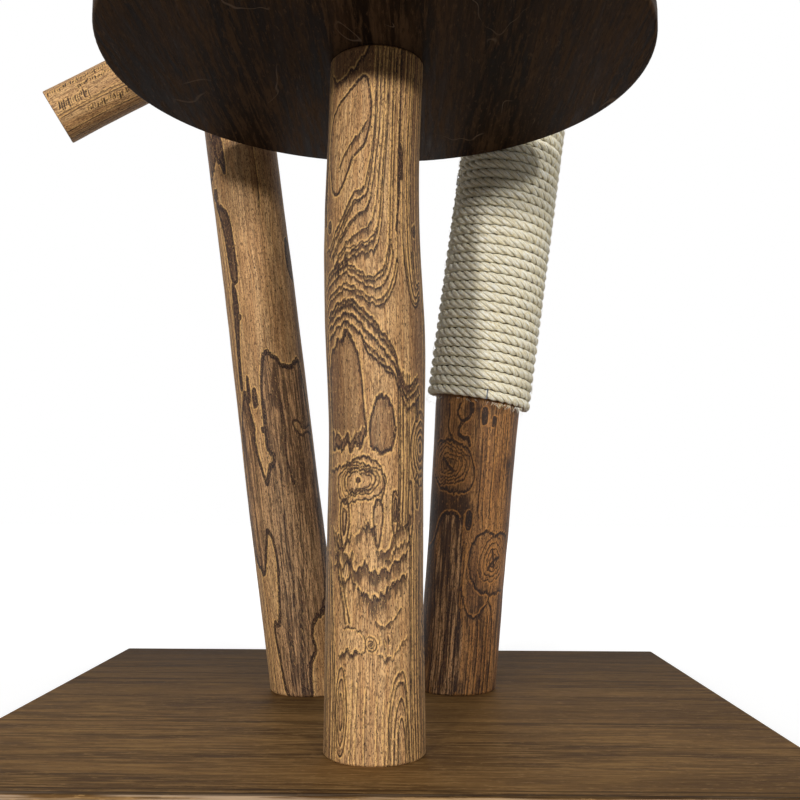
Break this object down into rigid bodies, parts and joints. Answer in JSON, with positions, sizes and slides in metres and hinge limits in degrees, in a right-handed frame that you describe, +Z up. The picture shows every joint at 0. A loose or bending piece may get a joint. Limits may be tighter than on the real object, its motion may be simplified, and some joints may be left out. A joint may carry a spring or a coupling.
{
  "type": "cat scratching post",
  "caption": "Free-standing cat scratching post of natural logs on a wooden board, with round platforms, a side branch and a rope-wound log.",
  "frame": {"origin": "middle of the base board's underside, on the floor", "axes": "+Z up, +X to the right seen from the front, +Y to the back; the log with the lower platform is at the front"},
  "size_m": [0.7192, 0.7453, 0.893],
  "materials": {
    "stained_board": "dark stained, satin",
    "natural_log": "peeled and sanded, oiled",
    "sisal_rope": "twisted natural fibre",
    "zinc_steel": "zinc plated"
  },
  "bodies": {
    "root": {"base_board": "stained_board", "lower_platform": "stained_board", "upper_platform": "stained_board", "front_post": "natural_log", "left_post": "natural_log", "right_post": "natural_log", "side_branch": "natural_log", "rope_lower_length": "sisal_rope", "rope_upper_length": "sisal_rope", "rope_staples": "zinc_steel", "base_coach_screws": "zinc_steel", "base_washers": "zinc_steel", "base_side_screws": "zinc_steel", "lower_platform_screws": "zinc_steel", "upper_platform_screws": "zinc_steel", "branch_coach_screw": "zinc_steel", "branch_washer": "zinc_steel"}
  },
  "joints": []
}
